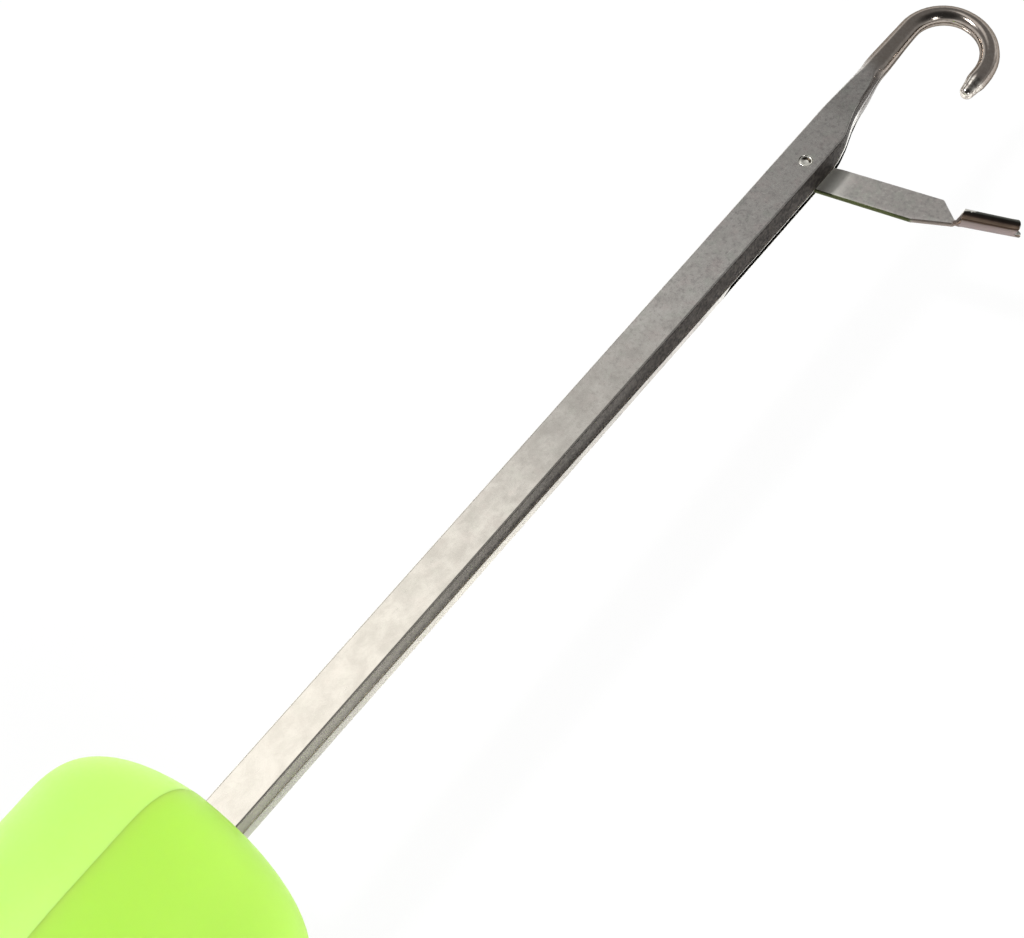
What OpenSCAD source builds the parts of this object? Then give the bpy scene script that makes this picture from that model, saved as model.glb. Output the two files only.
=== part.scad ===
// Latch hook tool for rug making, in millimetres.
// The Y axis is the tool's length, from the butt of the handle at y = 0 to the hook.
// Z is the normal of the wide faces of the shank, and the hook opens toward +X.

/* [Handle] */
// Length of the handle from its butt to its nose
handle_len = 66; // [60:1:80]
// Half the width of the handle at its widest place
handle_r = 13.3; // [12:0.1:16]
// Half the width of the handle at its waist
waist_r = 11.4; // [10:0.1:12.5]
// Half the width of the handle at its rear swell
rear_r = 12.6; // [11:0.1:15]
// Distance from the nose back to the widest place
belly_back = 14.5; // [14:0.5:18]
// Distance from the nose back to the waist
waist_back = 38; // [34:0.5:42]
// Length of the rounded nose
dome_len = 9.4; // [8:0.2:14]
// Length of the rounded rear end
rear_len = 9; // [6:0.5:12]
// Radius of the flat on the nose
nose_flat_r = 3.2; // [3:0.1:6]
// Radius of the flat face at the butt
butt_flat_r = 6; // [4:0.1:8]
// Shift of each half shell's axis, which makes the crease along the parting line
crease = 0.8; // [0.3:0.1:1.5]
// Wall thickness of the handle shells
shell_wall = 2; // [1.6:0.1:2.6]
// Distance from the end of the tang to the rear rib
rib_inset = 3; // [2:0.5:5]
// Thickness of the ribs that hold the tang
rib_t = 1.6; // [1.2:0.1:2.4]
// Diameter of the locating pegs
peg_d = 2.4; // [1.8:0.1:3]
// Wall of the boss round a locating peg
boss_wall = 1.2; // [0.8:0.1:1.6]
// Depth that a peg enters its socket
peg_depth = 2.6; // [2:0.1:4]
// Distance of the locating pegs from the tool's axis
peg_offset = 6.6; // [6:0.1:7.4]

/* [Shank] */
// Distance from the nose of the handle to the rivet
reach = 80.2; // [60:0.5:100]
// Width of the shank, across its wide faces
shank_w = 3.6; // [3.5:0.05:4.2]
// Thickness of the shank, between its wide faces
shank_t = 3.3; // [3.1:0.05:3.8]
// Thickness of the folded sheet
sheet_t = 0.4; // [0.3:0.05:0.45]
// Outer radius of the folded edges
fold_r = 0.5; // [0.48:0.02:0.7]
// Gap of the seam where the edges of the strip meet
seam_gap = 0.08; // [0.04:0.02:0.2]
// Length of the tang inside the handle
tang_len = 46; // [40:1:50]
// Diameter of the cross hole in the tang
tang_hole_d = 1.7; // [1.4:0.1:2]

/* [Latch slot] */
// Distance from the rivet back to the slot's sharp end
slot_back = 14.5; // [14:0.1:18]
// Length over which the slot's rear end narrows to a point
slot_taper = 1.6; // [1:0.1:2]
// Distance from the rivet to where the slot's front end starts to narrow
slot_fore = 6.2; // [6:0.1:7]
// Length over which the slot's front end narrows to a point
slot_fore_taper = 3; // [2:0.1:3.5]
// Height of the slot's front lip above the middle plane
slot_lip_z = -0.3; // [-0.4:0.05:-0.1]

/* [Hook] */
// Diameter of the hook's rolled wire
wire_d = 1.88; // [1.7:0.02:2]
// Diameter of the wire at the point
point_d = 1.3; // [1.1:0.05:1.4]
// Length of the hook's tapered point
nib_len = 1.4; // [1:0.1:2]
// Distance of the hook's straight leg from the shank's middle line
leg_x = 1.3; // [1.1:0.05:1.4]
// Distance from the rivet to where the neck starts to narrow
neck_start = 4.2; // [3.8:0.1:4.6]
// Distance from the rivet to where the round wire leaves the neck
neck_end = 14; // [13:0.1:15]
// Depth that the round wire starts inside the neck
wire_root = 2; // [1:0.1:3]
// Distance from the rivet to the start of the bend
bend_start = 18.9; // [18:0.1:24]
// Bend radius of the first quarter of the hook
bend_in_r = 3.7; // [3.5:0.05:4]
// Bend radius of the second quarter of the hook
bend_out_r = 4.9; // [4.7:0.05:5.2]
// Length of the hook's return leg after the bend, to the start of its point
return_len = 0.8; // [0.4:0.1:1.2]

/* [Rivet] */
// Diameter of the rivet's shaft
rivet_d = 1; // [0.8:0.05:1.1]
// Diameter of the rivet's spread ends
rivet_head_d = 1.25; // [1.2:0.05:1.5]
// Diameter of the shoulder that keeps the latch in place
rivet_shoulder_d = 1.6; // [1.4:0.1:1.7]
// Depth of the spread ends below the wide faces
rivet_recess = 0.1; // [0.05:0.01:0.15]
// Diameter of the dimple in the rivet's front end
dimple_d = 0.5; // [0.3:0.05:0.6]
// Shift of the rivet toward the hook side
rivet_x = 0.52; // [0.4:0.02:0.6]

/* [Latch] */
// Distance from the rivet to the end of the wide blade
blade_len = 12.4; // [12:0.1:13]
// Distance from the rivet to the start of the trailing edge's taper
taper_start = 10.4; // [9.5:0.1:11]
// Height of the blade on its leading side
blade_lead = 1.85; // [1.6:0.05:1.9]
// Height of the blade on its trailing side
blade_trail = 1.1; // [1:0.05:1.2]
// Distance past the rivet where the leading edge starts
lead_start = 0.3; // [0.1:0.1:0.6]
// Length of the notch between the blade and the trough
notch_len = 0.7; // [0.5:0.1:0.9]
// Thickness of the doubled blade
blade_t = 0.6; // [0.5:0.02:0.66]
// Gap between the two leaves of the blade
leaf_gap = 0.1; // [0.06:0.02:0.16]
// Length of the shoulder between the blade and the trough
shoulder_len = 1.1; // [0.9:0.1:1.1]
// Distance from the rivet to the root of the trough
trough_start = 14.6; // [14.4:0.1:15]
// Height of the trough's axis on the leading side
trough_rise = 0.6; // [0.5:0.05:0.7]
// Length of the trough
trough_len = 5; // [4.5:0.1:5.5]
// Thickness of the trough's wall
trough_wall = 0.27; // [0.2:0.01:0.3]
// Angle by which the trough leans toward the hook
trough_lean = 7.3; // [6:0.1:8]
// Width of the notch in the tip of the trough
notch_w = 0.8; // [0.5:0.05:1]
// Angle of the latch from the shank's axis as drawn
latch_angle = 79; // [60:1:110]

/* [Fits] */
// Radial running clearance of the latch on the rivet
run_gap = 0.04; // [0.02:0.01:0.08]
// Gap between the latch and the wall behind it
side_gap = 0.07; // [0.05:0.01:0.1]
// Gap around the tang in its pockets
tang_gap = 0.05; // [0.02:0.01:0.1]
// Gap around a peg in its socket
peg_gap = 0.05; // [0.03:0.01:0.1]
// Gap between the hook's point and the trough when the latch is closed
point_gap = 0.06; // [0.04:0.01:0.1]

/* [Hidden] */
// Stations along the handle's outline
stations = 44;
// Segments of the neck's outline
neck_steps = 10;
// Exponents that round the nose and the rear end
nose_pow = [3.1, 1.46];
rear_pow = [2, 2];
// Exponent of the neck's curve, and its least height above the wire's middle line
neck_pow = 1.5;
neck_least = 0.3;
// Angle at which the root's round meets the leading edge
root_angle = 143;
// Small overlap that joins the solids of one piece
bite = 0.02;
// Distance that a cut runs past a surface
past = 1;
pivot_y = handle_len + reach;
tang_y = handle_len - tang_len;
half_w = shank_w / 2;
half_t = shank_t / 2;
in_w = shank_w - 2 * sheet_t;
in_t = shank_t - 2 * sheet_t;
in_r = fold_r - sheet_t;
wire_r = wire_d / 2;
point_r = point_d / 2;
crown_x = bend_in_r - leg_x;
bend_y = pivot_y + bend_start;
return_x = crown_x + bend_out_r;
return_y = bend_y + bend_in_r - bend_out_r;
nib_y = return_y - return_len;
point_y = nib_y - nib_len;
blade_back_z = side_gap - in_t / 2;
blade_front_z = blade_back_z + blade_t;
trough_in_r = point_r + point_gap;
trough_out_r = trough_in_r + trough_wall;
slot_tip_z = (slot_lip_z - in_t / 2) / 2;
waist_y = handle_len - waist_back;
belly_y = handle_len - belly_back;
rib_y = [tang_y + rib_inset, tang_y + tang_len / 2, handle_len - dome_len];
boss_d = peg_d + 2 * boss_wall;
tang_peg_d = tang_hole_d - 2 * peg_gap;
reach_all = 4 * handle_len;

// Smooth step from 0 to 1 as t runs from 0 to 1
function ease(t) = t <= 0 ? 0 : t >= 1 ? 1 : t * t * (3 - 2 * t);

// Rise of a rounded end, from 0 at s = 0 to 1 at s = 1
function round_end(s, p) = s <= 0 ? 0 : s >= 1 ? 1 : pow(1 - pow(1 - s, p[0]), 1 / p[1]);

// Half width of the handle without its rounded ends
function swell(y) =
    y < waist_y
        ? rear_r + (waist_r - rear_r) * ease((y - rear_len) / (waist_y - rear_len))
        : waist_r + (handle_r - waist_r) * ease((y - waist_y) / (belly_y - waist_y));

// Half width of the handle at height y
function half_width(y) =
    y > handle_len / 2
        ? nose_flat_r + (swell(y) - nose_flat_r) * round_end((handle_len - y) / dome_len, nose_pow)
        : butt_flat_r + (swell(y) - butt_flat_r) * round_end(y / rear_len, rear_pow);

// Height of station i, with the stations closer together at both ends
function station(i, y0, y1) = y0 + (y1 - y0) * (1 - cos(180 * i / stations)) / 2;

// Right edge of the neck's outline at distance t along it, from 0 to 1
function neck_edge(t) = let (slim = wire_r - leg_x + neck_least) slim + (half_w - slim) * pow(1 - t, neck_pow);

// Solid of revolution that half a shell is cut from, with its surface moved in by inset
module shell_form(side, inset) {
    y0 = inset;
    y1 = handle_len - inset;
    translate([-side * crease, 0, 0])
        rotate([-90, 0, 0])
            rotate_extrude($fn = 96)
                polygon(concat(
                    [[0, y0]],
                    [for (i = [0 : stations])
                        let (y = station(i, y0, y1))
                        [half_width(y) + crease - inset, y]],
                    [[0, y1]]
                ));
}

// Space on one side of the parting plane
module side_space(side) {
    translate([side * reach_all / 2, 0, 0])
        cube([reach_all, reach_all, reach_all], center = true);
}

// Slab of the handle's inside, for a rib at height y
module rib_slab(y) {
    translate([-reach_all / 2, y - rib_t / 2, -reach_all / 2])
        cube([reach_all, rib_t, reach_all]);
}

// Round bosses round each locating peg, at height y
module bosses(y) {
    for (up = [-1, 1])
        translate([0, y, up * peg_offset])
            rotate([0, 90, 0])
                cylinder(d = boss_d, h = reach_all, center = true, $fn = 48);
}

// Pegs at height y that start inside the left shell and end in the right one
module pegs(y, gap) {
    for (up = [-1, 1])
        translate([-rib_t, y, up * peg_offset])
            rotate([0, 90, 0])
                cylinder(r = peg_d / 2 + gap, h = rib_t + peg_depth + gap, $fn = 48);
}

// Cross peg through the tang's hole
module tang_peg(gap) {
    translate([-half_w - rib_t, rib_y[1], 0])
        rotate([0, 90, 0])
            cylinder(r = tang_peg_d / 2 + gap, h = shank_w + 2 * rib_t + gap, $fn = 48);
}

// Space for the tang through the nose and the ribs
module tang_pocket() {
    pocket_w = shank_w + 2 * tang_gap;
    pocket_t = shank_t + 2 * tang_gap;
    translate([-pocket_w / 2, tang_y - tang_gap, -pocket_t / 2])
        cube([pocket_w, reach_all, pocket_t]);
}

// Half shell with its ribs and bosses, before pegs and sockets
module half_shell(side) {
    difference() {
        union() {
            difference() {
                shell_form(side, 0);
                shell_form(side, shell_wall);
            }
            intersection() {
                shell_form(side, shell_wall - bite);
                union() {
                    for (y = rib_y)
                        rib_slab(y);
                    for (y = [rib_y[0], rib_y[2]])
                        bosses(y);
                }
            }
        }
        side_space(-side);
        tang_pocket();
    }
}

module handle_left() {
    color("greenyellow") {
        half_shell(-1);
        pegs(rib_y[0], 0);
        pegs(rib_y[2], 0);
        tang_peg(0);
    }
}

module handle_right() {
    color("greenyellow")
        difference() {
            half_shell(1);
            pegs(rib_y[0], peg_gap);
            pegs(rib_y[2], peg_gap);
            tang_peg(peg_gap);
        }
}

// Rectangle with rounded corners
module round_rect(w, h, r) {
    square([w - 2 * r, h], center = true);
    square([w, h - 2 * r], center = true);
    for (x = [-1, 1], y = [-1, 1])
        translate([x * (w / 2 - r), y * (h / 2 - r)])
            circle(r = r, $fn = 32);
}

// Bar of a rounded section along Y, from y0 to y1
module bar(w, h, r, y0, y1) {
    translate([0, y1, 0])
        rotate([90, 0, 0])
            linear_extrude(y1 - y0)
                round_rect(w, h, r);
}

// Prism of a shape drawn in Y and Z, through all of X from x0 up
module side_cut(x0, points) {
    translate([x0, 0, 0])
        rotate([90, 0, 90])
            linear_extrude(reach_all)
                polygon(points);
}

// Outline of the shank seen on its wide face, moved in by inset on the hook side
module face_outline(inset, end) {
    neck_len = neck_end - neck_start;
    linear_extrude(reach_all, center = true)
        polygon(concat(
            [[-half_w, tang_y - past], [half_w - inset, tang_y - past]],
            [for (i = [0 : neck_steps])
                let (t = i / neck_steps)
                if (neck_start + t * neck_len <= end)
                    [neck_edge(t) - inset, pivot_y + neck_start + t * neck_len]],
            [[-half_w, pivot_y + end]]
        ));
}

// Side profile that slopes from the wide faces down to the round wire
module side_profile(inset) {
    slope_y = pivot_y + slot_fore;
    end_y = pivot_y + neck_end;
    high = half_t - inset;
    low = wire_r - inset;
    side_cut(-reach_all / 2, [
        [tang_y - past, -high], [slope_y, -high], [end_y, -low],
        [end_y, low], [slope_y, high], [tang_y - past, high]
    ]);
}

// Round rod in the middle plane from p to q, with radii r0 and r1
module rod(p, q, r0, r1) {
    way = q - p;
    translate([p[0], p[1], 0])
        rotate([0, 0, atan2(way[1], way[0])])
            rotate([0, 90, 0])
                cylinder(r1 = r0, r2 = r1, h = norm(way), $fn = 48);
}

// Ball in the middle plane
module ball(p, r) {
    translate([p[0], p[1], 0])
        sphere(r = r, $fn = 48);
}

// Quarter of the hook's bend about centre c, starting at angle a
module quarter_bend(c, bend_r, a) {
    translate([c[0], c[1], 0])
        rotate([0, 0, a])
            rotate_extrude(angle = 90, $fn = 96)
                translate([bend_r, 0])
                    circle(r = wire_r, $fn = 48);
}

// Round hook from inside the neck to its point
module hook() {
    root = [wire_r - half_w, pivot_y + slot_fore + wire_root];
    knee = [-leg_x, pivot_y + neck_end];
    nib = [return_x, nib_y];
    tip = [return_x, point_y];
    rod(root, knee, wire_r, wire_r);
    ball(knee, wire_r);
    rod(knee, [-leg_x, bend_y], wire_r, wire_r);
    quarter_bend([crown_x, bend_y], bend_in_r, 90);
    quarter_bend([crown_x, return_y], bend_out_r, 0);
    rod([return_x, return_y], nib, wire_r, wire_r);
    rod(nib, tip, wire_r, point_r);
    ball(tip, point_r);
}

// Cut of the seam and the latch slot, through the wall on the hook side
module seam_and_slot() {
    half_gap = seam_gap / 2;
    rear_y = pivot_y - slot_back;
    fore_y = pivot_y + slot_fore;
    floor_z = -in_t / 2;
    side_cut(0, [
        [tang_y - past, half_gap], [handle_len, half_gap],
        [rear_y, slot_tip_z + half_gap], [rear_y + slot_taper, slot_lip_z],
        [fore_y, slot_lip_z], [fore_y + slot_fore_taper, slot_tip_z],
        [fore_y, floor_z], [rear_y + slot_taper, floor_z],
        [rear_y, slot_tip_z - half_gap], [handle_len, -half_gap],
        [tang_y - past, -half_gap]
    ]);
}

// Holes for the rivet in both wide walls
module rivet_holes() {
    translate([rivet_x, pivot_y, 0])
        cylinder(d = rivet_head_d, h = 2 * shank_t, center = true, $fn = 48);
}

// Hole across the tang for the handle's peg
module tang_hole() {
    translate([0, rib_y[1], 0])
        rotate([0, 90, 0])
            cylinder(d = tang_hole_d, h = 2 * shank_w, center = true, $fn = 48);
}

module shank() {
    hollow_end = slot_fore + slot_fore_taper;
    color("silver")
        difference() {
            union() {
                intersection() {
                    bar(shank_w, shank_t, fold_r, tang_y, pivot_y + neck_end);
                    face_outline(0, neck_end);
                    side_profile(0);
                }
                hook();
            }
            intersection() {
                bar(in_w, in_t, in_r, tang_y - past, pivot_y + hollow_end);
                face_outline(sheet_t, hollow_end);
                side_profile(sheet_t);
            }
            seam_and_slot();
            rivet_holes();
            tang_hole();
        }
}

module rivet() {
    head_z = half_t - rivet_recess;
    shoulder_z = blade_front_z + side_gap;
    color("gainsboro")
        translate([rivet_x, pivot_y, 0])
            difference() {
                union() {
                    translate([0, 0, -head_z])
                        cylinder(d = rivet_head_d, h = head_z - in_t / 2, $fn = 48);
                    translate([0, 0, in_t / 2])
                        cylinder(d = rivet_head_d, h = head_z - in_t / 2, $fn = 48);
                    translate([0, 0, -head_z])
                        cylinder(d = rivet_d, h = 2 * head_z, $fn = 48);
                    translate([0, 0, shoulder_z])
                        cylinder(d = rivet_shoulder_d, h = in_t / 2 - shoulder_z, $fn = 48);
                }
                translate([0, 0, head_z])
                    sphere(d = dimple_d, $fn = 32);
            }
}

// Children drawn along the trough's axis, with X along it and Y toward the hook
module along_trough() {
    translate([trough_start, trough_rise, 0])
        rotate([0, 0, trough_lean])
            children();
}

// Doubled blade with its round root
module blade() {
    end_low = trough_rise - trough_out_r + 2 * bite;
    end_high = trough_rise - trough_in_r / 2;
    translate([0, 0, blade_back_z])
        linear_extrude(blade_t) {
            circle(r = blade_trail, $fn = 48);
            polygon([
                [0, -blade_trail], [taper_start, -blade_trail],
                [trough_start, end_low], [trough_start, end_high],
                [trough_start - notch_len, end_high], [blade_len, blade_lead],
                [lead_start, blade_lead],
                [blade_trail * cos(root_angle), blade_trail * sin(root_angle)]
            ]);
        }
}

// Gap between the leaves of the blade, open on the leading side
module leaf_space() {
    fold_v = blade_t / 2 - blade_trail;
    translate([-reach_all, fold_v, blade_back_z + (blade_t - leaf_gap) / 2])
        cube([reach_all + trough_start - shoulder_len - leaf_gap, reach_all, leaf_gap]);
}

// Half pipe that takes the point of the hook
module trough() {
    hollow_x = trough_in_r + trough_wall;
    along_trough()
        difference() {
            rotate([0, 90, 0])
                cylinder(r = trough_out_r, h = trough_len, $fn = 64);
            rotate([0, 90, 0])
                translate([0, 0, hollow_x])
                    cylinder(r = trough_in_r, h = trough_len, $fn = 64);
            translate([hollow_x, 0, 0])
                sphere(r = trough_in_r, $fn = 64);
            translate([-past, 0, -trough_len])
                cube([trough_len + 2 * past, trough_len, 2 * trough_len]);
            translate([trough_len, 0, 0])
                rotate([90, 0, 0])
                    cylinder(d = notch_w, h = 2 * trough_out_r, center = true, $fn = 32);
        }
}

// Shoulder that spreads the flat blade into the trough
module shoulder() {
    start = trough_start - shoulder_len;
    low = trough_rise - trough_out_r + 3 * bite;
    high = trough_rise - trough_in_r / 2 - bite;
    end_r = trough_out_r - bite;
    hull() {
        translate([start, low, blade_back_z + bite])
            cube([bite, high - low, blade_t - 2 * bite]);
        along_trough()
            intersection() {
                rotate([0, 90, 0])
                    cylinder(r = end_r, h = trough_wall / 2, $fn = 32);
                translate([-past, -2 * end_r - bite, -2 * end_r])
                    cube([2 * past, 2 * end_r, 4 * end_r]);
            }
    }
}

module latch() {
    color("silver")
        translate([rivet_x, pivot_y, 0])
            rotate([0, 0, 90 - latch_angle])
                difference() {
                    union() {
                        blade();
                        shoulder();
                        trough();
                    }
                    leaf_space();
                    cylinder(r = rivet_d / 2 + run_gap, h = 2 * shank_t, center = true, $fn = 48);
                }
}

shank();
latch();
rivet();
handle_left();
handle_right();
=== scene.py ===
import math

import bmesh
import bpy
from mathutils import Matrix, Vector


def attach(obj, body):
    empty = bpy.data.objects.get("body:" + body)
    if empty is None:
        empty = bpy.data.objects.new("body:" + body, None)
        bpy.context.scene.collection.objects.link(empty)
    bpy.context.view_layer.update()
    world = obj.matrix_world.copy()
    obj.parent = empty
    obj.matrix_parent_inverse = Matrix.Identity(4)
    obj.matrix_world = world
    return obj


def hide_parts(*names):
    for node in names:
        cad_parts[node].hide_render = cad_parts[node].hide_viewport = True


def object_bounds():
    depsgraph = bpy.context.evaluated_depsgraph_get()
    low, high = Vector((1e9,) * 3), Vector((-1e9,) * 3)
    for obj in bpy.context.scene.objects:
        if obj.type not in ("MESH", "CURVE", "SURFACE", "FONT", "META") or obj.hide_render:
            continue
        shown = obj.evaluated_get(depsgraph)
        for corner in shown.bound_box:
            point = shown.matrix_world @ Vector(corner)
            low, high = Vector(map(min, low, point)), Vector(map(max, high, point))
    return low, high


# Shapes are written in millimetres and become metres in new_object. Materials, lamps and the
# camera use metres.
MM = 0.001
# X and Y of the rivet's axis, which the latch turns on
PIVOT = (0.52, 146.2)
# Direction of the latch at rest, from +X
LATCH_TURN = math.radians(11)

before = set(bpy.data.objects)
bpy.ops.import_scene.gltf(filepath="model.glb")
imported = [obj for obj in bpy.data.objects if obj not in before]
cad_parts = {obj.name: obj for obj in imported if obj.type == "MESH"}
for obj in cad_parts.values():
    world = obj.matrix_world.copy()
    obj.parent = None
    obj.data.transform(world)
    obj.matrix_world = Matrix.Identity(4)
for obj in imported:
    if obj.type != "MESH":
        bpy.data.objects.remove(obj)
cad_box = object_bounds()
scene = bpy.context.scene


# ---------- small helpers

def mix(a, b, t):
    return a + (b - a) * t


def mix_colour(a, b, t):
    return tuple(mix(p, q, t) for p, q in zip(a, b))


def clamp(t):
    return min(max(t, 0.0), 1.0)


def ease(t):
    """Smooth step from 0 to 1 as t runs from 0 to 1."""
    t = clamp(t)
    return t * t * (3 - 2 * t)


def table(points, x):
    """Value at x on the broken line through the points (x, value)."""
    if x <= points[0][0]:
        return points[0][1]
    for (x0, v0), (x1, v1) in zip(points, points[1:]):
        if x <= x1:
            return mix(v0, v1, (x - x0) / (x1 - x0))
    return points[-1][1]


def on_circle(radius, degrees):
    a = math.radians(degrees)
    return radius * math.cos(a), radius * math.sin(a)


def new_object(name, verts, faces, sharp=32):
    """Mesh object from points in millimetres, sharp at edges above that many degrees."""
    mesh = bpy.data.meshes.new(name)
    mesh.from_pydata([(x * MM, y * MM, z * MM) for x, y, z in verts], [], faces)
    bm = bmesh.new()
    bm.from_mesh(mesh)
    bmesh.ops.recalc_face_normals(bm, faces=bm.faces)
    bm.to_mesh(mesh)
    bm.free()
    obj = bpy.data.objects.new(name, mesh)
    scene.collection.objects.link(obj)
    smooth(mesh, sharp)
    return obj


def smooth(mesh, sharp):
    mesh.polygons.foreach_set("use_smooth", [True] * len(mesh.polygons))
    mesh.set_sharp_from_angle(angle=math.radians(sharp))


def loft(name, rings, sharp=32):
    """Closed skin over rings with the same number of points."""
    n = len(rings[0])
    verts = [p for ring in rings for p in ring]
    faces = []
    for i in range(len(rings) - 1):
        for j in range(n):
            k = (j + 1) % n
            faces.append((i * n + j, i * n + k, (i + 1) * n + k, (i + 1) * n + j))
    faces.append(tuple(range(n - 1, -1, -1)))
    faces.append(tuple((len(rings) - 1) * n + j for j in range(n)))
    return new_object(name, verts, faces, sharp)


def lathe(name, profile, centre, steps=48, sharp=32):
    """Solid of revolution about Z, from (radius, z) points with both ends on the axis."""
    cx, cy = centre
    verts = [(cx, cy, profile[0][1])]
    for r, z in profile[1:-1]:
        for j in range(steps):
            a = 2 * math.pi * j / steps
            verts.append((cx + r * math.cos(a), cy + r * math.sin(a), z))
    verts.append((cx, cy, profile[-1][1]))
    last = len(verts) - 1
    faces = [(0, 1 + j, 1 + (j + 1) % steps) for j in range(steps)]
    rows = len(profile) - 2
    for i in range(rows - 1):
        for j in range(steps):
            k = (j + 1) % steps
            a, b = 1 + i * steps, 1 + (i + 1) * steps
            faces.append((a + j, b + j, b + k, a + k))
    a = 1 + (rows - 1) * steps
    faces += [(a + j, last, a + (j + 1) % steps) for j in range(steps)]
    return new_object(name, verts, faces, sharp)


def prism(name, outline, x0, x1):
    """Prism along X of an outline in Y and Z."""
    n = len(outline)
    verts = [(x0, y, z) for y, z in outline] + [(x1, y, z) for y, z in outline]
    faces = [(j, (j + 1) % n, n + (j + 1) % n, n + j) for j in range(n)]
    faces += [tuple(range(n)), tuple(range(2 * n - 1, n - 1, -1))]
    return new_object(name, verts, faces)


def block(name, low, high):
    """Box between two corners."""
    (x0, y0, z0), (x1, y1, z1) = low, high
    return prism(name, [(y0, z0), (y1, z0), (y1, z1), (y0, z1)], x0, x1)


def cut(obj, cutters, sharp=32):
    """Takes the cutters out of obj for good, and deletes them."""
    for cutter in cutters:
        mod = obj.modifiers.new("cut", "BOOLEAN")
        mod.operation, mod.solver, mod.object = "DIFFERENCE", "EXACT", cutter
    bake(obj)
    for cutter in cutters:
        bpy.data.objects.remove(cutter)
    smooth(obj.data, sharp)


def bake(obj):
    """Applies obj's modifiers to its mesh."""
    bpy.context.view_layer.update()
    solved = obj.evaluated_get(bpy.context.evaluated_depsgraph_get())
    mesh = bpy.data.meshes.new_from_object(solved)
    obj.modifiers.clear()
    obj.data = mesh


def weigh(obj):
    """Keeps large flat faces flat where they meet small rounds."""
    mod = obj.modifiers.new("weights", "WEIGHTED_NORMAL")
    mod.weight, mod.keep_sharp = 100, True


# ---------- node trees

class Graph:
    """Short way to write a node tree. Values are sockets or constants."""

    def __init__(self, tree):
        self.tree = tree

    def add(self, kind, **settings):
        node = self.tree.nodes.new(kind)
        for key, value in settings.items():
            setattr(node, key, value)
        return node

    def link(self, a, b):
        self.tree.links.new(a, b)

    def feed(self, socket, value):
        """Sets a constant on the socket, or links a value to it."""
        if isinstance(value, (int, float, tuple)):
            socket.default_value = value
        else:
            self.link(value, socket)

    def noise(self, vector, scale, detail=4.0, rough=0.5, distortion=0.0):
        node = self.add("ShaderNodeTexNoise")
        self.link(vector, node.inputs["Vector"])
        node.inputs["Scale"].default_value = scale
        node.inputs["Detail"].default_value = detail
        node.inputs["Roughness"].default_value = rough
        node.inputs["Distortion"].default_value = distortion
        return node.outputs["Fac"]

    def span(self, value, a0, a1, b0=0, b1=1, kind="SMOOTHSTEP"):
        """Maps a0...a1 to b0...b1 and stays inside them."""
        node = self.add("ShaderNodeMapRange", interpolation_type=kind)
        self.link(value, node.inputs["Value"])
        keys = ("From Min", "From Max", "To Min", "To Max")
        for key, number in zip(keys, (a0, a1, b0, b1)):
            node.inputs[key].default_value = number
        return node.outputs["Result"]

    def math(self, operation, a, b=0):
        node = self.add("ShaderNodeMath", operation=operation)
        self.feed(node.inputs[0], a)
        self.feed(node.inputs[1], b)
        return node.outputs[0]

    def times(self, first, *others):
        for other in others:
            first = self.math("MULTIPLY", first, other)
        return first

    def less(self, value):
        """One minus the value."""
        return self.math("SUBTRACT", 1.0, value)

    def ramp(self, value, stops):
        node = self.add("ShaderNodeValToRGB")
        self.link(value, node.inputs["Fac"])
        band = node.color_ramp
        while len(band.elements) < len(stops):
            band.elements.new(0.5)
        for element, (at, colour) in zip(band.elements, stops):
            element.position = at
            element.color = (*colour, 1)
        return node.outputs["Color"]

    def blend(self, factor, a, b):
        """Colour a where the factor is 0, colour b where it is 1."""
        node = self.add("ShaderNodeMix", data_type="RGBA", blend_type="MIX")
        sockets = [s for s in node.inputs if s.enabled]
        self.feed(sockets[0], factor)
        for socket, value in zip(sockets[1:3], (a, b)):
            self.feed(socket, (*value, 1) if isinstance(value, tuple) else value)
        return [s for s in node.outputs if s.enabled][0]

    def bump(self, height, strength, distance, under=None):
        node = self.add("ShaderNodeBump")
        node.inputs["Strength"].default_value = strength
        node.inputs["Distance"].default_value = distance
        self.link(height, node.inputs["Height"])
        if under is not None:
            self.link(under, node.inputs["Normal"])
        return node.outputs["Normal"]

    def axis(self, vector, name):
        node = self.add("ShaderNodeSeparateXYZ")
        self.link(vector, node.inputs[0])
        return node.outputs[name]

    def dot(self, vector, direction):
        node = self.add("ShaderNodeVectorMath", operation="DOT_PRODUCT")
        self.link(vector, node.inputs[0])
        node.inputs[1].default_value = direction
        return node.outputs["Value"]


class Surface(Graph):
    """Node tree of a new material around its Principled shader."""

    def __init__(self, name):
        self.material = bpy.data.materials.new(name)
        self.material.use_nodes = True
        super().__init__(self.material.node_tree)
        self.shader = self.tree.nodes["Principled BSDF"]
        where = self.add("ShaderNodeTexCoord")
        self.place, self.normal = where.outputs["Object"], where.outputs["Normal"]

    def scaled(self, sx, sy, sz, turn=(0, 0, 0), shift=(0, 0, 0)):
        """Object coordinates, scaled, turned and shifted."""
        node = self.add("ShaderNodeMapping")
        self.link(self.place, node.inputs["Vector"])
        node.inputs["Scale"].default_value = (sx, sy, sz)
        node.inputs["Rotation"].default_value = turn
        node.inputs["Location"].default_value = shift
        return node.outputs["Vector"]

    def put(self, socket, value):
        self.feed(self.shader.inputs[socket], value)


# ---------- materials, with places in metres

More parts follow.
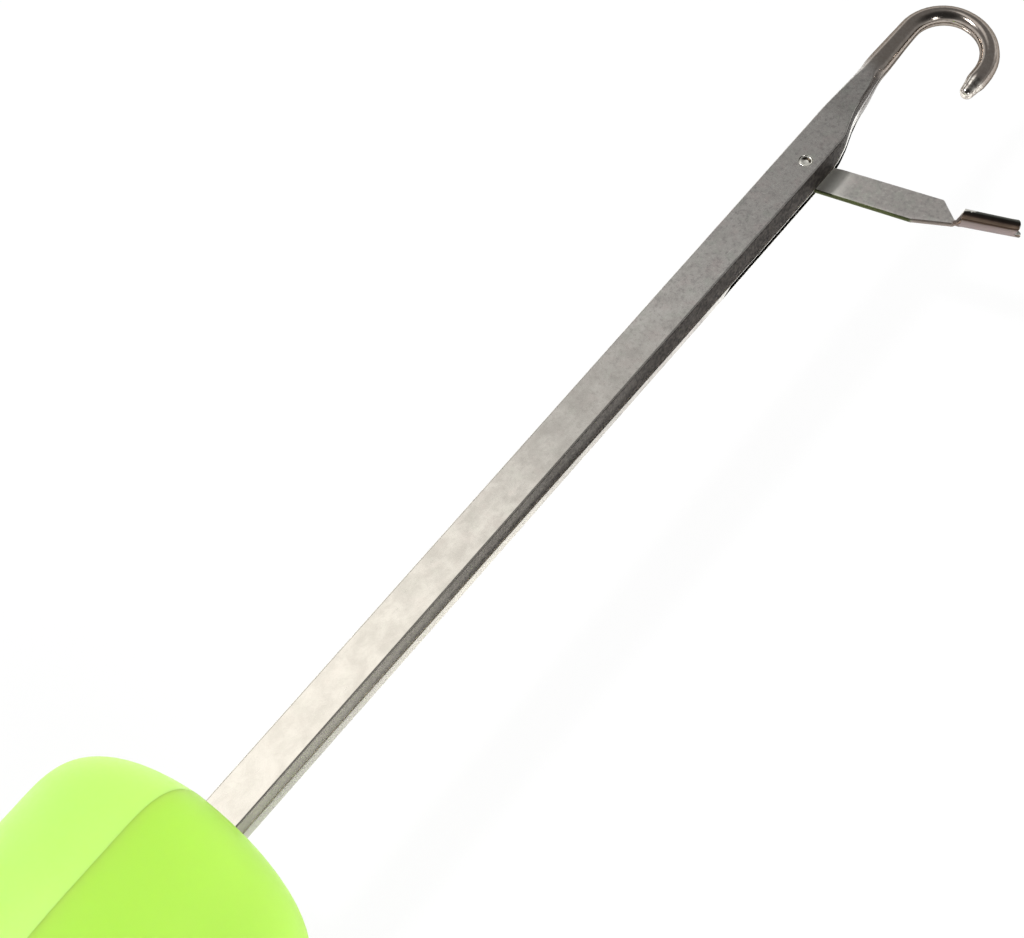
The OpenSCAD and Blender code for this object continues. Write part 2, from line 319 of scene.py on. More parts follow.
def nickel(name, look, tint, dark, rough=0.2):
    """Nickel plating with soft clouds, pinkish and greenish spots and short scratches."""
    pinkish, greenish = (0.66, 0.575, 0.55), (0.54, 0.57, 0.50)
    stained, speck, scratched = (0.36, 0.345, 0.335), (0.86, 0.85, 0.80), (0.9, 0.88, 0.84)
    blotch, pale = (0.36, 0.335, 0.325), (0.80, 0.79, 0.73)
    n = Surface(name)
    y = n.axis(n.place, "Y")
    clouds = n.noise(n.scaled(1, 0.7, 1), 620, 4.0, 0.6, 0.3)
    stains = n.noise(n.scaled(1, 0.8, 1, shift=(0.31, 0.12, 0.05)), 1300, 5.0, 0.65, 0.5)
    grains = n.noise(n.place, 5200, 3.0, 0.6)
    hue = n.noise(n.scaled(1, 1, 1, shift=(0.07, 0.4, 0.2)), 700, 3.0, 0.6, 0.3)
    mottle = n.noise(n.scaled(1, 1, 1, shift=(0.21, 0.33, 0.1)), 2700, 4.0, 0.7)
    colour = n.ramp(clouds, [(0.36, dark), (0.52, mix_colour(dark, tint, 0.6)), (0.66, tint)])
    colour = n.blend(n.span(hue, 0.52, 0.66, 0, 0.4), colour, pinkish)
    colour = n.blend(n.span(hue, 0.46, 0.34, 0, 0.35), colour, greenish)
    colour = n.blend(n.span(stains, 0.54, 0.74, 0, 0.5), colour, stained)
    # The grains leave out the faces on the hook side
    plain = n.span(n.axis(n.normal, "X"), 0.45, 0.6, 1, 0)
    colour = n.blend(n.times(plain, n.span(grains, 0.58, 0.76, 0, 0.35)), colour, speck)
    grade = n.span(y, 0.075, 0.125, 0.3, 1) if look == "shank" else n.span(y, 0.0, 0.1, 0.9, 1)
    colour = n.blend(n.times(grade, n.span(mottle, 0.50, 0.66, 0, 0.55)), colour, blotch)
    colour = n.blend(n.times(grade, n.span(mottle, 0.46, 0.32, 0, 0.40)), colour, pale)
    scratch = n.noise(n.scaled(3600, 520, 900, turn=(0, 0, 0.5)), 1.0, 2.0, 0.5, 0.1)
    lines = n.span(scratch, 0.70, 0.76)
    colour = n.blend(n.times(lines, 0.25), colour, scratched)
    gloss = n.span(clouds, 0.3, 0.7, rough + 0.06, rough - 0.03)
    if look == "shank":
        colour, gloss = shank_tones(n, colour, gloss, mottle)
    elif look == "latch":
        colour, gloss = latch_tones(n, colour, gloss)
    else:
        colour = rivet_tones(n, colour)
    n.put("Base Color", colour)
    n.put("Metallic", 1.0)
    n.put("Roughness", n.math("ADD", gloss, n.times(lines, 0.1)))
    dents = n.bump(n.noise(n.scaled(1, 0.5, 1), 300, 2.0, 0.5), 0.12, 0.00002)
    if look == "shank":
        wavy = n.times(n.noise(n.place, 750, 2.0, 0.5), n.span(y, 0.158, 0.162))
        dents = n.bump(wavy, 0.3, 0.00005, dents)
    n.put("Normal", n.bump(n.times(plain, grains), 0.1, 0.00001, dents))
    return n.material


def shank_tones(n, colour, gloss, mottle):
    """Cream near the handle, partly a painted sheen; painted dark and bright reflections beside
    the seam; a darker round hook with a painted dark bend and a painted highlight on its point.
    """
    cream_and_sheen, dull, shade = (0.93, 0.868, 0.75), (0.42, 0.395, 0.36), (0.42, 0.40, 0.38)
    brown_black, black, white = (0.095, 0.082, 0.072), (0.024, 0.020, 0.018), (0.98, 0.96, 0.90)
    x, y, z = n.axis(n.place, "X"), n.axis(n.place, "Y"), n.axis(n.place, "Z")
    facing = n.axis(n.normal, "X")
    # Cream toward the handle, partly the plating's tone and partly a painted sheen
    colour = n.blend(n.span(y, 0.080, 0.138, 0.7, 0), colour, cream_and_sheen)
    duller = n.times(n.span(y, 0.102, 0.110, 0, 0.32), n.span(y, 0.117, 0.127, 1, 0))
    colour = n.blend(duller, colour, dull)
    hook = n.span(y, 0.1575, 0.1605)
    straight = n.less(hook)

    # The hook-side face in front of the seam gets a painted dark reflection; the one behind it
    # gets painted shade near the handle and a painted bright reflection further on
    seam = n.math("ADD", n.span(y, 0.095, 0.128, -0.00036, -0.00074),
                  n.span(y, 0.1485, 0.1535, 0, 0.00095))
    above = n.span(n.math("SUBTRACT", z, seam), -0.00003, 0.00003)
    edge = n.span(facing, 0.62, 0.86)
    front = n.times(edge, above, n.span(y, 0.064, 0.108, 0.62, 0.97))
    upper = n.times(n.span(z, 0.0001, 0.0008), n.span(y, 0.113, 0.124, 0.14, 0))
    front = n.times(front, n.less(n.times(upper, n.span(facing, 0.9, 0.99))))
    painted_dark_reflection = n.blend(n.span(mottle, 0.36, 0.64), brown_black, black)
    colour = n.blend(n.times(front, straight), colour, painted_dark_reflection)
    behind = n.times(edge, n.less(above))
    colour = n.blend(n.times(behind, n.span(y, 0.070, 0.100, 0.75, 0)), colour, shade)
    # Painted bright reflection on the face behind the seam, toward the neck
    bright = n.times(behind, n.span(y, 0.128, 0.134, 0, 0.9), n.span(y, 0.1535, 0.1565, 1, 0))
    colour = n.blend(bright, colour, white)
    # Painted shade on the far wall beside the slot
    far = n.times(n.span(z, -0.00122, -0.00142, 0, 0.92), n.span(y, 0.147, 0.150))
    colour = n.blend(n.times(far, straight), colour, (0.05, 0.045, 0.04))

    # Darker hook, a painted dark reflection on the bend where the neck becomes round, and a
    # painted highlight on the point
    colour = n.blend(n.times(hook, n.span(mottle, 0.35, 0.65, 0.80, 0.98)), colour,
                     (0.36, 0.31, 0.27))
    bend_dark_reflection = n.times(n.span(facing, 0.15, 0.5, 0, 0.92), n.span(y, 0.1535, 0.1558))
    colour = n.blend(n.times(bend_dark_reflection, n.span(y, 0.1575, 0.1600, 1, 0)), colour,
                     (0.11, 0.095, 0.085))
    nib_highlight = n.times(n.span(x, 0.0040, 0.0045), n.span(y, 0.1634, 0.1624))
    colour = n.blend(n.times(nib_highlight, n.span(mottle, 0.46, 0.52, 0.1, 0.95)), colour,
                     (0.93, 0.88, 0.80))
    n.put("Specular Tint", n.blend(hook, (1.0, 1.0, 1.0), (0.30, 0.28, 0.26)))
    gloss = n.math("ADD", gloss, n.times(front, n.times(straight, 0.45)))
    return colour, n.math("SUBTRACT", gloss, n.times(hook, 0.08))


def latch_tones(n, colour, gloss):
    """Painted light and shade: lighter root, dark greenish reflection on the folded edge,
    highlight on the cut shoulder and reflection bands across the dark trough.
    """
    along = (math.cos(LATCH_TURN), math.sin(LATCH_TURN), 0)
    up = (-math.sin(LATCH_TURN), math.cos(LATCH_TURN), 0)
    u, height = (
        n.math("SUBTRACT", n.dot(n.place, way), sum(p * q * MM for p, q in zip(PIVOT, way)))
        for way in (along, up))
    facing = n.dot(n.normal, up)
    # Painted light that lifts the root, where the shank shades the blade and is darkly reflected
    # in it
    root = n.span(u, 0.0024, 0.0046, 1, 0)
    colour = n.blend(n.times(root, 0.72), colour, (0.98, 0.97, 0.90))
    # Painted dark greenish reflection of the handle on the folded edge
    fold = n.times(n.span(facing, -0.12, -0.5, 0, 0.96), n.span(u, 0.0101, 0.0107, 1, 0))
    colour = n.blend(fold, colour, (0.085, 0.10, 0.035))
    rim = n.times(n.span(facing, -0.12, -0.5, 0, 0.8), n.span(u, 0.0101, 0.0107))
    link = n.times(n.span(u, 0.0136, 0.0140), n.span(height, 0.00032, 0.00044, 1, 0))
    colour = n.blend(n.math("MAXIMUM", rim, link), colour, (0.22, 0.17, 0.145))

    # Painted reflection bands across the trough, from its lower side at 0 to its upper side at 1
    band = n.ramp(n.span(facing, -1, 1, kind="LINEAR"), [
        (0.0, (0.29, 0.235, 0.225)), (0.050, (0.27, 0.215, 0.205)), (0.075, (0.11, 0.075, 0.06)),
        (0.105, (0.09, 0.06, 0.045)), (0.135, (0.38, 0.27, 0.20)), (0.195, (0.31, 0.22, 0.165)),
        (0.245, (0.07, 0.05, 0.04)), (0.29, (0.022, 0.016, 0.013)), (0.40, (0.020, 0.017, 0.015)),
        (0.46, (0.08, 0.08, 0.07)), (0.52, (0.30, 0.30, 0.27)), (0.90, (0.40, 0.38, 0.36))])
    start = n.math("ADD", u, n.span(facing, 0.1, -0.5, 0, 0.0013))
    ragged = n.span(n.noise(n.place, 2600), 0.35, 0.65, -0.0003, 0.0003)
    trough = n.span(n.math("ADD", start, ragged), 0.01560, 0.01585)
    colour = n.blend(trough, colour, band)
    # Painted highlight on the cut shoulder, with speckles
    shoulder_highlight = n.times(n.span(u, 0.01400, 0.01415), n.span(u, 0.0162, 0.0166, 1, 0),
                       n.span(height, 0.0003, 0.00045), n.less(trough))
    speckle = n.span(n.noise(n.place, 4200), 0.36, 0.5, 0.5, 1)
    colour = n.blend(n.times(shoulder_highlight, speckle), colour, (0.93, 0.91, 0.84))
    return colour, n.math("ADD", gloss, n.span(u, 0.0025, 0.0090, 0.32, 0.17))


def rivet_tones(n, colour):
    """Bright rivet head with a shaded crescent on the side away from the handle."""
    x = n.math("SUBTRACT", n.axis(n.place, "X"), PIVOT[0] * MM)
    y = n.math("SUBTRACT", n.axis(n.place, "Y"), PIVOT[1] * MM)
    away = n.math("SQRT", n.math("ADD", n.times(x, x), n.times(y, y)))
    ring = n.times(n.span(away, 0.00020, 0.00028), n.span(away, 0.00044, 0.00052, 1, 0))
    return n.blend(n.times(ring, n.span(y, -0.00005, 0.00018)), colour, (0.05, 0.04, 0.03))


def plastic(name, low, high):
    """Lime green moulded plastic, satin and slightly translucent."""
    n = Surface(name)
    wide = n.noise(n.place, 45, 2.0, 0.5)
    fine = n.noise(n.place, 2600, 3.0, 0.6)
    n.put("Base Color", n.ramp(wide, [(0.35, low), (0.65, high)]))
    n.put("Roughness", n.span(fine, 0.3, 0.7, 0.40, 0.48))
    n.put("Specular IOR Level", 0.16)
    n.put("Subsurface Weight", 0.35)
    n.put("Subsurface Radius", (0.7, 1.0, 0.3))
    n.put("Subsurface Scale", 0.003)
    n.put("Normal", n.bump(fine, 0.06, 0.00003, n.bump(wide, 0.1, 0.0002)))
    return n.material


# ---------- shank and hook, one folded strip

# X of the middle of the hook's straight leg, and the shift of the wire's section at the neck
WIRE_X, NECK_SHIFT = -1.3, 0.06
# X of the face away from the hook's opening
BACK_X = -1.8
# Depth of the seam in the rolled wire, and at its thin point
WIRE_SEAM, POINT_SEAM = 0.1, 0.02
# Height of the rolled lip beside the wire's seam, and the angle that the seam is turned by
WIRE_LIP, SEAM_TURN = 0.02, 4
# Half width of the box's seam, and the steps of its rounded corners in degrees
SEAM_HALF, CORNER_STEP = 0.02, 15
# Half size of the hollow in X, and the radius of the rivet's hole
HOLLOW_X, RIVET_HOLE = 1.4, 0.62
# Angles of the section's points, closest at the corners of the box
ANGLES = ([-3, 3, 6, 12, 22, 32] + [38 + 5 * i for i in range(7)] + [73, 81, 90, 99, 107]
          + [112 + 5 * i for i in range(7)] + [155, 180, 205] + [218 + 5 * i for i in range(7)]
          + [253, 261, 270, 279, 287] + [292 + 5 * i for i in range(7)] + [328, 338, 348, 354])
# Stations of the shank along Y, from the rivet
SHANK_STATIONS = (
    -126.2, -82, -76, -66, -56, -50, -44, -36, -28, -21, -18, -16, -14.7, -14, -12, -10.5, -8, -5,
    -2, 0, 2, 2.4, 3, 3.4, 4.0, 4.5, 5.0, 5.6, 6.3, 6.9, 7.4, 8.0, 8.4, 9.0, 9.4, 10, 10.5, 11.2,
    11.8, 12.4, 12.9, 13.3, 13.6, 13.85)


def wire_section(radius, groove):
    """Round section as (x, z) about the wire's middle, with the seam on its inner side."""
    points = []
    for i, angle in enumerate(ANGLES):
        r = radius - groove if i < 2 else radius
        if 2 <= i <= 4:
            r += WIRE_LIP
        points.append(on_circle(r, angle + SEAM_TURN))
    return points


def box_section(y):
    """Rounded box section of the folded strip as (x, z), at distance y past the rivet.

    right and back are the X of the hook-side face at its upper and lower edge, seam is the
    seam's height, lean and under are the tilts of the face above and below it, in degrees.
    """
    right = table([(3.4, 1.9), (4.35, 1.83), (5.35, 1.47), (6.3, 1.14), (7.4, 0.8), (8.4, 0.62),
                   (9.4, 0.45), (10.3, 0.33), (11.2, 0.19), (12.5, 0.02), (14, -0.12)], y)
    back = table([(2.2, 1.9), (3.2, 1.76), (5, 1.28), (6.9, 0.62), (8.7, 0.24), (10.5, 0.02),
                  (12, -0.1), (14, -0.2)], y)
    left = table([(11.0, BACK_X), (12.6, -1.93), (14.2, -2.36)], y)
    half = table([(6.2, 1.65), (14, 1.06)], y)
    r = table([(6.5, 0.17), (11.5, 0.24), (14, 0.8)], y)
    seam = table([(-80, -0.12), (-36, -0.3), (-21, -0.45), (-10, -0.5), (7, -0.5), (14, 0.0)], y)
    lean = table([(-80, -5.0), (-66, -3.0), (-50, 0.5), (0, 1.5), (4, 0)], y)
    under = table([(-80, -3.0), (-50, -6.0), (0, -6.0), (4, 0)], y)
    deep = table([(-80, 0.22), (8, 0.22), (12, 0.1)], y)
    upper_tilt, lower_tilt = math.tan(math.radians(lean)), math.tan(math.radians(under))

    def side(z):
        base = mix(back, right, (z + half) / (2 * half))
        if z > seam:
            return base + upper_tilt * (half - z)
        return base + upper_tilt * (half - seam) + lower_tilt * (seam - z)

    def arc(cx, cz, start):
        turned = (on_circle(r, start + CORNER_STEP * i) for i in range(7))
        return [(cx + x, cz + z) for x, z in turned]

    high, low = half - r, -half + r
    x_high, x_low = side(high), side(low)
    bottom = side(seam) - deep
    points = [(bottom, seam - SEAM_HALF), (bottom, seam + SEAM_HALF)]
    points += [(side(z) - d, z) for z, d in (
        (seam + 0.045, 0.03), (seam + 0.16, 0.0), (mix(seam + 0.16, high, 0.6), 0),
        (high - 0.03, 0))]
    points += arc(x_high - r, high, 0)
    points += [(mix(x_high - r, left + r, t), half) for t in (0.02, 0.25, 0.5, 0.75, 0.98)]
    points += arc(left + r, high, 90)
    points += [(left, mix(high, low, t)) for t in (0.03, 0.5, 0.97)]
    points += arc(left + r, low, 180)
    points += [(mix(left + r, x_low - r, t), -half) for t in (0.02, 0.25, 0.5, 0.75, 0.98)]
    points += arc(x_low - r, low, 270)
    points += [(side(z), z) for z in (low + 0.03, mix(low, seam - 0.12, 0.6), seam - 0.12)]
    points += [(side(seam - 0.045) - 0.02, seam - 0.045)]
    return points


def hook_path():
    """Stations of the wire: middle point, inner direction and radius."""
    y0 = PIVOT[1]
    rise, tight, wide = 18.95, 3.7, 4.9
    out = []

    def add(x, y, a, r):
        out.append(((x, y), (math.cos(a), math.sin(a)), r))

    for y, x, r in ((14.3, 0.05, 1.11), (15.2, 0.04, 1.08), (16.2, 0.02, 1.04), (17.2, 0, 1.0),
                    (18.2, 0, 0.97)):
        add(WIRE_X + x, y0 + y, 0, r)
    cx, cy = WIRE_X + tight, y0 + rise
    for i in range(13):
        a = math.radians(180 - 7.5 * i)
        add(cx + tight * math.cos(a), cy + tight * math.sin(a), a - math.pi,
            mix(0.96, 0.9, i / 12))
    cy = cy + tight - wide
    for i in range(1, 16):
        a = math.radians(90 - 6 * i)
        add(cx + wide * math.cos(a), cy + wide * math.sin(a), a - math.pi, mix(0.9, 0.93, i / 15))
    for d, r in ((0.4, 0.93), (0.8, 0.92), (1.0, 0.89), (1.5, 0.77), (2.0, 0.69), (2.3, 0.65),
                 (2.5, 0.6), (2.62, 0.54), (2.72, 0.46), (2.8, 0.36), (2.85, 0.2)):
        add(cx + wide, cy - d, math.pi, r)
    return out


def make_shank():
    """Box section, neck and hook in one skin, with the hollow, slot and rivet hole cut."""
    y0 = PIVOT[1]
    neck_start, neck_len, neck_r = 10.2, 3.9, 1.12
    rings = []
    for y in SHANK_STATIONS:
        w = ease((y - neck_start) / neck_len)
        wire = [(WIRE_X + NECK_SHIFT + x, z) for x, z in wire_section(neck_r, WIRE_SEAM)]
        rings.append([(mix(a[0], b[0], w), y0 + y, mix(a[1], b[1], w))
                      for a, b in zip(box_section(y), wire)])
    for (x, y), (nx, ny), r in hook_path():
        groove = WIRE_SEAM if r > 0.85 else POINT_SEAM
        rings.append([(x + nx * u, y + ny * u, z) for u, z in wire_section(r, groove)])
    obj = loft("shank_and_hook", rings)

    hollow = []
    for y, x in ((-127, HOLLOW_X), (2.5, HOLLOW_X), (4.5, 1.25), (6.3, 0.8), (8.2, 0.28),
                 (9.2, 0.1)):
        z = table([(6.2, 1.25), (9.2, 0.95)], y)
        hollow.append([(x, y0 + y, -z), (x, y0 + y, z), (-HOLLOW_X, y0 + y, z),
                       (-HOLLOW_X, y0 + y, -z)])
    cavity = loft("cavity", hollow)
    outline = ((-14.7, -1.54), (-13.5, -0.80), (7.0, -0.80), (9.3, -0.86), (7.0, -1.42),
               (-13.5, -1.44))
    slot = prism("slot", [(y0 + y, z) for y, z in outline], -1.55, 4)
    flare = RIVET_HOLE + 0.05
    hole = lathe("hole", [(0, -3), (RIVET_HOLE, -3), (RIVET_HOLE, 1.6), (flare, 1.67), (flare, 3),
                          (0, 3)], PIVOT)
    cut(obj, [cavity, slot, hole])
    weigh(obj)
    return obj


# ---------- rivet

def make_rivet():
    """Rivet with a spread lower end and a dished head."""
    profile = [(0, -1.55), (0.6, -1.55), (0.62, -1.45), (0.5, -1.25), (0.5, 0.9), (0.62, 1.28),
               (0.62, 1.5), (0.605, 1.57), (0.57, 1.6), (0.53, 1.6), (0.49, 1.57), (0.42, 1.51),
               (0.32, 1.47), (0.2, 1.45), (0, 1.445)]
    return lathe("rivet_body", profile, PIVOT, sharp=50)


# ---------- latch, a strip folded double and opened into a trough

# Half distance between the middles of the leaves, and half the sheet's thickness
LEAF_Z, HALF_SHEET = 0.14, 0.125
# Distance from the low outline to the middle of the fold's round
FOLD_UP = 0.3
# Points on each leaf and round the fold, and in the whole section
LEAF_POINTS, FOLD_POINTS = 8, 9
MIDDLE = LEAF_POINTS + FOLD_POINTS // 2
SECTION_POINTS = 2 * MIDDLE + 1
# Height of the blade's middle plane, and half the angle that the trough's wall spans
BLADE_Z, TROUGH_HALF = -1.11, 96
# Length of the latch relative to its stations, and where the notch in its tip starts
STRETCH, TIP_START = 1.02, 18.5
# Distances from the rivet, along the latch, and the outlines (distance, height) over them
LATCH_STATIONS = (
    -0.95, -0.7, -0.3, 0.3, 1.2, 2.5, 4, 6, 8, 10.1, 10.26, 10.34, 10.6, 11.2, 11.8, 11.92, 12.04,
    12.5, 12.9, 13.3, 13.55, 13.65, 13.83, 13.87, 14.1, 14.3, 14.53, 14.57, 14.8, 15.4, 16.2, 17,
    17.8, 18.5, 18.9, 19.15, 19.3, 19.42, 19.5)
TROUGH_AXIS = [(14.5, 0.6), (19.6, 1.26)]
LATCH_TOP = [(0.3, 1.85), (2.5, 2.12), (11.92, 2.26), (12.04, 2.2), (13.8, 0.36), (13.95, 0.32)]
LATCH_LOW = [(-0.9, -1.0), (10.1, -0.96), (10.3, -0.88), (13.5, -0.06), (13.95, -0.06),
             (14.5, -0.36), (19.6, 0.27)]


def folded_line(top, low):
    """Middle line of the doubled strip as (v, z), down one leaf, round the fold and up."""
    root = low + FOLD_UP
    line = [(mix(top, root, i / LEAF_POINTS), -LEAF_Z) for i in range(LEAF_POINTS)]
    for i in range(FOLD_POINTS):
        v, z = on_circle(LEAF_Z, -90 + 22.5 * i)
        line.append((root - v, z))
    return line + [(mix(root, top, (i + 1) / LEAF_POINTS), LEAF_Z) for i in range(LEAF_POINTS)]


def trough_line(height, radius):
    """Middle line of the trough's wall as (v, z), open toward the hook."""
    line = []
    for i in range(SECTION_POINTS):
        v, z = on_circle(radius, TROUGH_HALF * (i - MIDDLE) / MIDDLE)
        line.append((height - v, z))
    return line


def thicken(line):
    """Closed ring at half a sheet's thickness on both sides of the line."""
    outer, inner = [], []
    for i, (v, z) in enumerate(line):
        p, q = line[max(i - 1, 0)], line[min(i + 1, len(line) - 1)]
        dv, dz = q[0] - p[0], q[1] - p[1]
        size = math.hypot(dv, dz) or 1
        nv, nz = -dz / size, dv / size
        outer.append((v + HALF_SHEET * nv, z + HALF_SHEET * nz))
        inner.append((v - HALF_SHEET * nv, z - HALF_SHEET * nz))
    return outer + inner[::-1]


def tip_pull(k):
    """How far point k of a ring moves back at the tip: a notch in the middle, round corners."""
    i = k if k < SECTION_POINTS else 2 * SECTION_POINTS - 1 - k
    share = abs(i - MIDDLE) / MIDDLE
    return 0.42 * math.exp(-(share / 0.22) ** 2) + 0.3 * max(share - 0.72, 0) ** 2 / 0.078


def make_latch():
    """Folded blade with a round root, a notch, and the trough at the tip."""
    cos, sin = math.cos(LATCH_TURN), math.sin(LATCH_TURN)
    rings = []
    for u in LATCH_STATIONS:
        top, low = table(LATCH_TOP + TROUGH_AXIS, u), table(LATCH_LOW, u)
        if u < 0.3:
            top = mix(0.8, 1.85, (u + 0.95) / 1.25)
            low = mix(-0.55, -1.02, ease((u + 0.95) / 0.7))
        opened = clamp((u - 13.85) / 0.7)
        lift = mix(BLADE_Z, 0.0, clamp((u - 13.6) / 0.95))
        trough = trough_line(table(TROUGH_AXIS, u), mix(0.84, 0.77, (u - 14.5) / 5))
        line = [(mix(p[0], q[0], opened), mix(p[1], q[1], opened))
                for p, q in zip(folded_line(top, low), trough)]
        ring = []
        for k, (v, z) in enumerate(thicken(line)):
            x = STRETCH * u - tip_pull(k) * max(u - TIP_START, 0)
            ring.append((PIVOT[0] + x * cos - v * sin, PIVOT[1] + x * sin + v * cos, z + lift))
        rings.append(ring)
    obj = loft("latch_strip", rings, 20)
    cut(obj, [lathe("latch_hole", [(0, -3), (0.54, -3), (0.54, 3), (0, 3)], PIVOT)], 20)
    weigh(obj)
    return obj


# ---------- handle

# X of the plane where the halves part, and Y of the front end
PARTING, NOSE = 1.1, 65.5
# Y of the narrowest and widest places, and the length of the round at the butt
WAIST, BELLY, REAR = 28.0, 51.5, 9
# Y past which the front end's round applies, and before it the butt's
MIDWAY = 33
# Shift of each half's axis, which makes the crease along the seam
CREASE = 0.8
# Rings along the handle and steps around each half
RINGS, AROUND = 110, 60


def half_width(y):
    """Distance from the handle's middle to its side, at height y."""
    if y < WAIST:
        swell = mix(12.6, 11.4, ease((y - REAR) / (WAIST - REAR)))
    else:
        swell = mix(11.4, 13.3, ease((y - WAIST) / (BELLY - WAIST)))
    if y > MIDWAY:
        s = min((NOSE - y) / 8.6, 1)
        return 3.2 + (swell - 3.2) * math.sqrt(1 - (1 - s) ** 3.3)
    s = min(y / REAR, 1)
    return 6 + (swell - 6) * math.sqrt(1 - (1 - s) ** 2)


def make_half(name, side):
    """One moulded half of the handle; the right one is lifted beside the seam."""
    seam = PARTING * side
    rings = []
    for i in range(RINGS + 1):
        y = NOSE / 2 * (1 - math.cos(math.pi * i / RINGS))
        r = half_width(y) + CREASE
        centre = side * 0.35 * ease((y - 34) / 16) - CREASE
        edge = math.degrees(math.acos((seam - centre) / r))
        gap = max(side, 0) * 0.9 * (r - math.sqrt(r * r - (seam - centre) ** 2))
        ring = []
        for j in range(AROUND + 1):
            s = -1 + 2 * j / AROUND
            angle = edge * math.copysign(1 - (1 - abs(s)) ** 1.35, s)
            near = math.radians(edge - abs(angle)) * r
            x, _ = on_circle(r, angle)
            _, z = on_circle(r + gap * math.exp(-near / 1.5), angle)
            ring.append((side * max(x + centre, seam), y, z))
        ring += [(side * (seam + 0.004), y, mix(ring[-1][2], ring[0][2], t))
                 for t in (0.25, 0.5, 0.75)]
        rings.append(ring)
    obj = loft(name, rings, 28)
    cut(obj, [block("pocket", (-1.87, 19, -1.72), (1.97, 70, 1.72))], 28)
    weigh(obj)
    return obj


# ---------- the object

shank = make_shank()
rivet = make_rivet()
latch = make_latch()
left = make_half("handle_half_left", -1)
right = make_half("handle_half_right", 1)

steel = nickel("nickel_shank", "shank", (0.70, 0.672, 0.632), (0.54, 0.512, 0.48))
thin_steel = nickel("nickel_latch", "latch", (0.60, 0.568, 0.53), (0.50, 0.472, 0.445))
bright = nickel("rivet_steel", "rivet", (1.0, 0.98, 0.90), (0.90, 0.88, 0.80), 0.32)
# Lighter green for the left half and darker for the right: painted light and shade on either side
# of the crease
lit_green = plastic("handle_plastic_left", (0.48, 0.83, 0.15), (0.53, 0.86, 0.19))
shaded_green = plastic("handle_plastic_right", (0.39, 0.69, 0.08), (0.43, 0.73, 0.10))

for obj, body, node, slot, material in (
        (shank, "tool", "shank", "nickel_shank", steel),
        (rivet, "tool", "rivet", "rivet_steel", bright),
        (latch, "latch", "latch", "nickel_latch", thin_steel),
        (left, "tool", "handle_left", "handle_plastic", lit_green),
        (right, "tool", "handle_right", "handle_plastic", shaded_green)):
    obj.data.materials.clear()
    obj.data.materials.append(material)
    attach(obj, body)
    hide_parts(node)


# ---------- floor, light and camera

# Strengths of the world: the even sky, the bright band and the glow seen in the wide face
SKY, BAND, GLOW = 0.27, 0.8, 0.95
WHITE = (1, 1, 1, 1)


def make_floor():
    """Pale floor that takes the shadow and looks nearly white to the camera."""
    z, s = cad_box[0][2] - 0.0001, 2.0
    mesh = bpy.data.meshes.new("floor")
    mesh.from_pydata([(-s, -s, z), (s, -s, z), (s, s, z), (-s, s, z)], [], [(0, 1, 2, 3)])
    obj = bpy.data.objects.new("floor", mesh)
    scene.collection.objects.link(obj)
    n = Surface("floor_white")
    n.put("Base Color", (0.93, 0.93, 0.93, 1))
    n.put("Roughness", 0.7)
    glow = n.add("ShaderNodeEmission")
    glow.inputs["Color"].default_value = WHITE
    seen = n.add("ShaderNodeLightPath").outputs["Is Camera Ray"]
    join = n.add("ShaderNodeMixShader")
    n.link(n.times(seen, 0.93), join.inputs[0])
    n.link(n.shader.outputs[0], join.inputs[1])
    n.link(glow.outputs[0], join.inputs[2])
    n.link(join.outputs[0], n.tree.nodes["Material Output"].inputs["Surface"])
    mesh.materials.append(n.material)


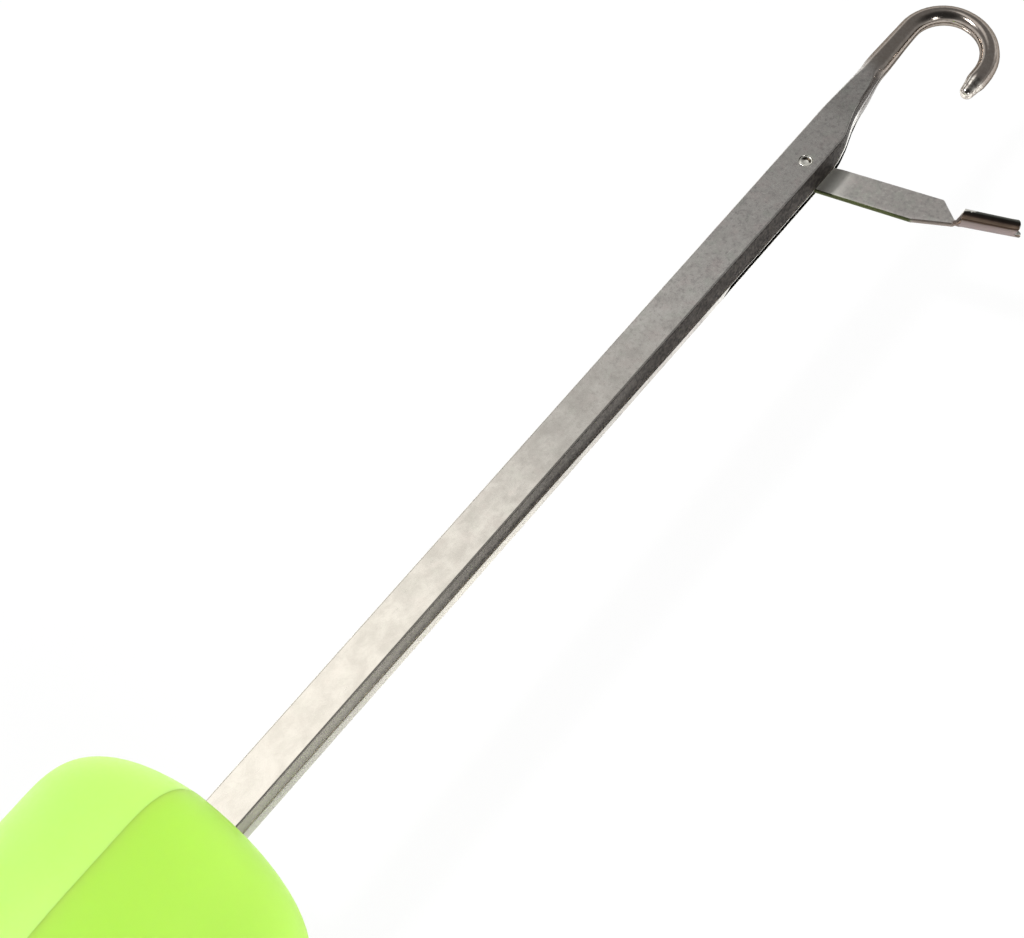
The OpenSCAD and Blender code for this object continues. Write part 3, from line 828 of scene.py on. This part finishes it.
def make_world():
    """Dim even studio with a bright band above the horizon; the camera sees plain white."""
    world = bpy.data.worlds.new("studio")
    scene.world = world
    world.use_nodes = True
    n = Graph(world.node_tree)
    direction = n.add("ShaderNodeTexCoord").outputs["Generated"]
    height = n.axis(direction, "Z")

    def toward(way, near, far):
        """1 within the angle whose cosine is near, 0 past the one whose cosine is far."""
        return n.span(n.dot(direction, Vector(way).normalized()), far, near)

    band = n.times(n.span(height, 0.02, 0.14, 0.12, 1.0), n.span(height, 0.28, 0.50, 1.0, 0.0))
    band = n.times(band, n.less(n.times(toward((0.84, 0.49, 0.24), 0.96, 0.72), 0.8)))
    level = n.math("ADD", SKY, n.times(band, BAND))
    level = n.math("ADD", level, n.times(toward((-0.47, 0.22, 0.85), 0.996, 0.952), GLOW))
    level = n.times(level, n.less(n.times(toward((0.42, -0.39, 0.82), 0.93, 0.5), 0.82)))
    seen = n.add("ShaderNodeLightPath").outputs["Is Camera Ray"]
    back = n.tree.nodes["Background"]
    n.link(n.math("MAXIMUM", level, seen), back.inputs["Strength"])
    back.inputs["Color"].default_value = WHITE


def make_lamp(name, place, aim, size, power):
    """Round area lamp at place, turned to aim."""
    lamp = bpy.data.lights.new(name, "AREA")
    lamp.shape, lamp.size, lamp.energy = "DISK", size, power
    obj = bpy.data.objects.new(name, lamp)
    scene.collection.objects.link(obj)
    obj.location = place
    obj.rotation_euler = (Vector(aim) - Vector(place)).to_track_quat("-Z", "Y").to_euler()
    return obj


def make_camera():
    """Camera fitted to the photo by the straight edges of the shank."""
    phi, psi, roll = 0.40271, 0.469353, 0.844449
    start, offset = Vector((0, 70.2, 0)), (20.6442, 25.6385, 248.956)
    e1 = Vector((math.sin(psi) * math.sin(phi), math.cos(phi), math.cos(psi) * math.sin(phi)))
    e2 = Vector((math.cos(psi), 0.0, -math.sin(psi)))
    back = Vector((math.sin(psi) * math.cos(phi), -math.sin(phi), math.cos(psi) * math.cos(phi)))
    across = math.cos(roll) * e1 + math.sin(roll) * e2
    down = -math.sin(roll) * e1 + math.cos(roll) * e2
    camera = bpy.data.cameras.new("camera")
    camera.lens, camera.sensor_width, camera.sensor_fit = 110.0, 36.0, "HORIZONTAL"
    camera.clip_start, camera.clip_end = 0.01, 10.0
    obj = bpy.data.objects.new("camera", camera)
    scene.collection.objects.link(obj)
    pose = Matrix((across, -down, back)).transposed().to_4x4()
    place = start + offset[0] * across - offset[1] * down + offset[2] * back
    pose.translation = place * MM
    obj.matrix_world = pose
    scene.camera = obj


make_floor()
make_world()
SIDE = (0.75, -0.30, 0.45)
make_lamp("key", (-0.53, -0.12, 0.83), (0.0, 0.10, 0.0), 0.14, 6.2)
make_lamp("fill", SIDE, (0.0, 0.06, 0.0), 0.6, 7.0).visible_glossy = False
make_lamp("glint", SIDE, (0.0, 0.12, 0.0), 0.24, 1.1).visible_diffuse = False
make_lamp("back", (0.1, 1.0, 0.30), (0.0, 0.06, 0.0), 0.5, 5.0).visible_glossy = False
make_camera()
scene.view_settings.view_transform = "Standard"
